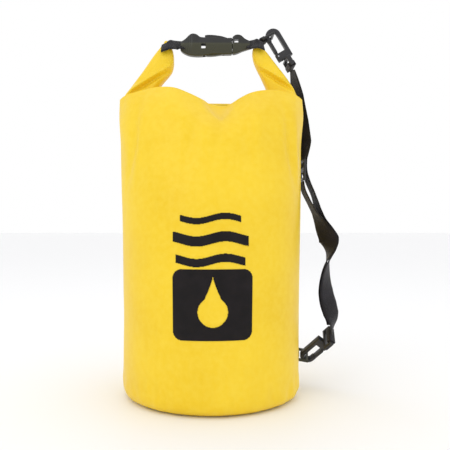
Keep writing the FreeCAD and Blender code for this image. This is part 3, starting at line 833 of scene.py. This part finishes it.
# ------------------------------------------------------------------ moulded hardware
def detached_copy(node):
    """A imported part's copy on its own, without the frame's marks, ready for operators."""
    fresh()
    source = bpy.data.objects[node]
    piece = source.copy()
    piece.data = source.data.copy()
    bpy.context.collection.objects.link(piece)
    piece.parent = None
    piece.matrix_world = source.matrix_world
    piece.hide_render = False
    pick(piece)
    for key in list(piece.keys()):
        del piece[key]
    return piece


# The span in metres that a moulded or sewn part's texture map is taken to cover.
MAP_SPAN = 0.04


def softened(node, name, finish, body, edge):
    """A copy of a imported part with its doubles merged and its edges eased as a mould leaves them."""
    piece = detached_copy(node)
    bpy.ops.object.mode_set(mode="EDIT")
    bpy.ops.mesh.select_all(action="SELECT")
    bpy.ops.mesh.remove_doubles(threshold=0.01 * MM)
    bpy.ops.mesh.dissolve_limited(angle_limit=math.radians(3))
    bpy.ops.mesh.select_all(action="SELECT")
    bpy.ops.uv.smart_project()
    bpy.ops.object.mode_set(mode="OBJECT")
    # The projection fills a unit square. The parts are a few centimetres long, so this is roughly metres.
    layer = piece.data.uv_layers.active
    layer.name = "weave"
    for loop in layer.data:
        loop.uv = loop.uv * MAP_SPAN
    bevel = piece.modifiers.new("eased_edges", "BEVEL")
    bevel.width = edge
    bevel.segments = 3
    bevel.limit_method = "ANGLE"
    bevel.angle_limit = math.radians(35)
    return settle(name, finish, body, node, smooth=math.radians(45))


# The buckle's outline above and below its middle: x in millimetres, then the share of the full half height
# that is left there.
UPPER_WAIST = [(-36, 0.22), (-30, 0.45), (-23, 0.84), (-17, 0.83), (-12, 0.62), (6, 0.58), (24, 0.57),
               (28, 0.78), (34, 0.76), (39, 0.5), (46, 0.3)]
LOWER_WAIST = [(-36, 0.3), (-32, 0.54), (-24, 0.75), (-12, 0.8), (2, 0.69), (24, 0.67), (30, 0.58),
               (36, 0.42), (46, 0.22)]
# The prongs' least share, then the spacing in millimetres and the strength of the grip ribs.
PRONG_WAIST = 0.8
RIB_PITCH = 2.2
RIB_DEPTH = 0.07


def buckle_warp(place, prong=False):
    """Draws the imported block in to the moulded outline: thickest along its middle, ribbed by one end."""
    middle = (SOCKET_LOW.z + SOCKET_HIGH.z) / 2
    half = SOCKET_HIGH.z - middle
    x = place.x / MM
    rise = (place.z - middle) / half
    upper = rise > 0
    waist = flowing(UPPER_WAIST if upper else LOWER_WAIST, x)[0]
    if prong:
        # The prongs stand a little proud in the side windows, so that they clear each other when squeezed.
        waist = max(waist, PRONG_WAIST - 0.22 * smooth_step(10, 24, x))
    slope = 0.55 * rise if upper else 0.3 * rise ** 2
    depth = (1.0 - slope) * (0.6 + 0.4 * smooth_step(0.25, 0.8, flowing(LOWER_WAIST, x)[0]))
    if -33 < x < -22:
        depth *= 1.0 + RIB_DEPTH * math.sin(x * 2 * math.pi / RIB_PITCH)
    # The plug's face is drawn up to the socket's mouth, so no daylight shows between the halves.
    shut = 0.85 * MM * smooth_step(24.7, 25.1, x) * (1.0 - smooth_step(25.4, 27.5, x))
    return Vector((place.x - shut, place.y * depth, middle + (place.z - middle) * waist))


def cut_window(piece, low, high):
    """Cuts a square window right through a piece, from front to back."""
    bpy.ops.mesh.primitive_cube_add(size=1.0, location=(Vector(low) + Vector(high)) / 2)
    cutter = bpy.context.object
    cutter.scale = Vector(high) - Vector(low)
    bpy.ops.object.transform_apply(location=True, rotation=True, scale=True)
    hole = piece.modifiers.new("window", "BOOLEAN")
    hole.object = cutter
    hole.operation = "DIFFERENCE"
    cutter.select_set(False)
    pick(piece)
    bpy.ops.object.modifier_apply(modifier=hole.name)
    bpy.data.objects.remove(cutter)


def remoulded(node, name, body, voxel, windows=(), prong=False):
    """A packed buckle part re-skinned finely, drawn to the moulded outline and smoothed."""
    piece = detached_copy(node)
    for low, high in windows:
        cut_window(piece, low, high)
    skin = piece.modifiers.new("skin", "REMESH")
    skin.mode = "VOXEL"
    skin.voxel_size = voxel
    bpy.ops.object.modifier_apply(modifier=skin.name)
    for vertex in piece.data.vertices:
        vertex.co = buckle_warp(vertex.co, prong)
    ease = piece.modifiers.new("ease", "SMOOTH")
    ease.factor = 0.5
    ease.iterations = 3
    return settle(name, "buckle", body, node, smooth=math.radians(50))


def strip_through(name, body, node, places):
    """A webbing tab through given places, its face tilted to the front."""
    points = spline_points([(*place, 0) for place in places], name)[0]
    side = Vector((0, math.sin(TAB_TILT), math.cos(TAB_TILT)))
    webbing_strip(name, points, [side] * len(points), TAB_WIDTH, settings("webbing").thickness)
    settle(name, "webbing", body, node, smooth=math.radians(50))


TAB_TILT = math.radians(40)
TAB_WIDTH = 15 * MM
LEFT_TAB = [(-0.030, -0.001, 0.3965), (-0.039, -0.002, 0.3970), (-0.044, -0.0090, 0.3945),
            (-0.050, -0.0112, 0.3925), (-0.0560, -0.0085, 0.3905)]
RIGHT_TAB = [(0.041, -0.001, 0.3965), (0.046, -0.002, 0.3970), (0.050, -0.0090, 0.3950),
             (0.055, -0.0112, 0.3940), (0.0595, -0.0085, 0.3925)]
# Opposite corners of the sight window in the socket and of the slot in the plug.
SIGHT_WINDOW = ((-0.0112, -0.02, 0.3904), (-0.0063, 0.02, 0.3982))
PLUG_SLOT = ((0.0268, -0.02, 0.3992), (0.0312, 0.02, 0.4043))
# The voxel sizes that re-skin the buckle's halves and its prongs.
SHELL_VOXEL = 0.4 * MM
PRONG_VOXEL = 0.35 * MM


class DRYBAG_OT_buckle(bpy.types.Operator):
    """Moulds the buckle's two halves and prongs, with grip ribs, and sews its webbing to the horns"""
    bl_idname = "drybag.buckle"
    bl_label = "Side-release buckle"

    def execute(self, context):
        remoulded("buckle_socket", "buckle_socket_shell", "socket", SHELL_VOXEL, [SIGHT_WINDOW])
        remoulded("buckle_plug", "buckle_plug_grip", "root", SHELL_VOXEL, [PLUG_SLOT])
        for level in ("upper", "lower"):
            remoulded("latch_arm_" + level, "latch_prong_" + level, "latch_" + level, PRONG_VOXEL,
                      prong=True)
        strip_through("left_loop_webbing", "socket", "left_webbing_tab", LEFT_TAB)
        strip_through("right_loop_webbing", "root", "right_webbing_tab", RIGHT_TAB)
        return {"FINISHED"}


class DRYBAG_OT_hooks(bpy.types.Operator):
    """Eases both snap hooks with their rings, gates, eyes and webbing loops"""
    bl_idname = "drybag.hooks"
    bl_label = "Snap hooks and rings"

    def execute(self, context):
        for end in ("upper", "lower"):
            softened(end + "_hook_body", end + "_snap_hook", "hook", "root", 0.7 * MM)
            softened(end + "_hook_gate", end + "_snap_gate", "hook", end + "_gate", 0.5 * MM)
            softened(end + "_swivel_eye", end + "_strap_eye", "hook", end + "_swivel", 0.5 * MM)
            softened(end + "_d_ring", end + "_dee", "buckle", "root", 0.4 * MM)
            softened(end + "_d_ring_loop", end + "_dee_webbing", "webbing", "root", 0.5 * MM)
            softened(end + "_strap_loop", end + "_strap_end", "webbing", end + "_swivel", 0.6 * MM)
            for part in ("_gate_pin", "_gate_spring"):
                dress(bpy.data.objects[end + part], "steel")
        dress(bpy.data.objects["lower_anchor_patch"], "tarpaulin")
        return {"FINISHED"}


# ------------------------------------------------------------------ stage
class DRYBAG_OT_stage(bpy.types.Operator):
    """Lays the pale floor and sets the soft studio light and the camera"""
    bl_idname = "drybag.stage"
    bl_label = "Stage"

    def execute(self, context):
        fresh()
        bpy.ops.mesh.primitive_plane_add(size=40.0)
        floor = bpy.context.object
        floor.name = "studio_floor"
        floor_finish, _, shader = surface("pale_floor", 0.6)
        shader.inputs["Base Color"].default_value = (0.93, 0.93, 0.94, 1.0)
        floor.data.materials.append(floor_finish)
        # Each light's name, its place, its width in metres and its power in watts.
        lights = [("key", (-1.1, -1.5, 1.5), 1.5, 6.5), ("fill", (1.3, -1.3, 0.9), 1.6, 1.8),
                  ("top", (0.0, 0.2, 1.9), 1.6, 2.5)]
        for name, place, width, power in lights:
            bpy.ops.object.light_add(type="AREA", location=place)
            lamp = bpy.context.object
            lamp.name = name + "_light"
            lamp.data.size = width
            lamp.data.energy = power
            lamp.rotation_euler = (Vector((0, 0, 0.2)) - Vector(place)).to_track_quat("-Z", "Y").to_euler()
        world = bpy.data.worlds.new("studio")
        world.use_nodes = True
        world.node_tree.nodes["Background"].inputs[0].default_value = (1.0, 1.0, 1.0, 1.0)
        world.node_tree.nodes["Background"].inputs[1].default_value = 1.0
        context.scene.world = world
        context.scene.view_settings.view_transform = "Standard"
        bpy.ops.object.camera_add(location=(0.0, -0.678, 0.188), rotation=(math.radians(90), 0, 0))
        camera = bpy.context.object
        camera.data.sensor_width = 36.0
        camera.data.lens = 47.4
        camera.data.shift_x = 0.031
        camera.data.shift_y = 0.0058
        camera.data.clip_end = 50.0
        context.scene.camera = camera
        return {"FINISHED"}


class DRYBAG_PT_panel(bpy.types.Panel):
    """Lists the dry bag's sizes and the steps that build it"""
    bl_idname = "DRYBAG_PT_panel"
    bl_label = "Dry bag"
    bl_space_type = "VIEW_3D"
    bl_region_type = "UI"
    bl_category = "Dry bag"

    def draw(self, context):
        for group in ("fabric", "webbing", "hardware"):
            values = settings(group)
            for key in values.__annotations__:
                self.layout.prop(values, key)
        for step in STEPS:
            self.layout.operator(step.bl_idname)


GROUPS = {"fabric": DRYBAG_PG_fabric, "webbing": DRYBAG_PG_webbing, "hardware": DRYBAG_PG_hardware}
STEPS = [DRYBAG_OT_stage, DRYBAG_OT_strap, DRYBAG_OT_bag, DRYBAG_OT_print, DRYBAG_OT_seam, DRYBAG_OT_roll,
         DRYBAG_OT_buckle, DRYBAG_OT_hooks]


def register():
    for cls in [*GROUPS.values(), *STEPS, DRYBAG_PT_panel]:
        bpy.utils.register_class(cls)
    for name, group in GROUPS.items():
        setattr(bpy.types.Scene, "dry_bag_" + name, bpy.props.PointerProperty(type=group))


def unregister():
    for name in GROUPS:
        delattr(bpy.types.Scene, "dry_bag_" + name)
    for cls in [DRYBAG_PT_panel, *reversed(STEPS), *reversed(list(GROUPS.values()))]:
        bpy.utils.unregister_class(cls)


def main():
    register()
    for step in STEPS:
        family, action = step.bl_idname.split(".")
        getattr(getattr(bpy.ops, family), action)()


if __name__ == "__main__":
    main()
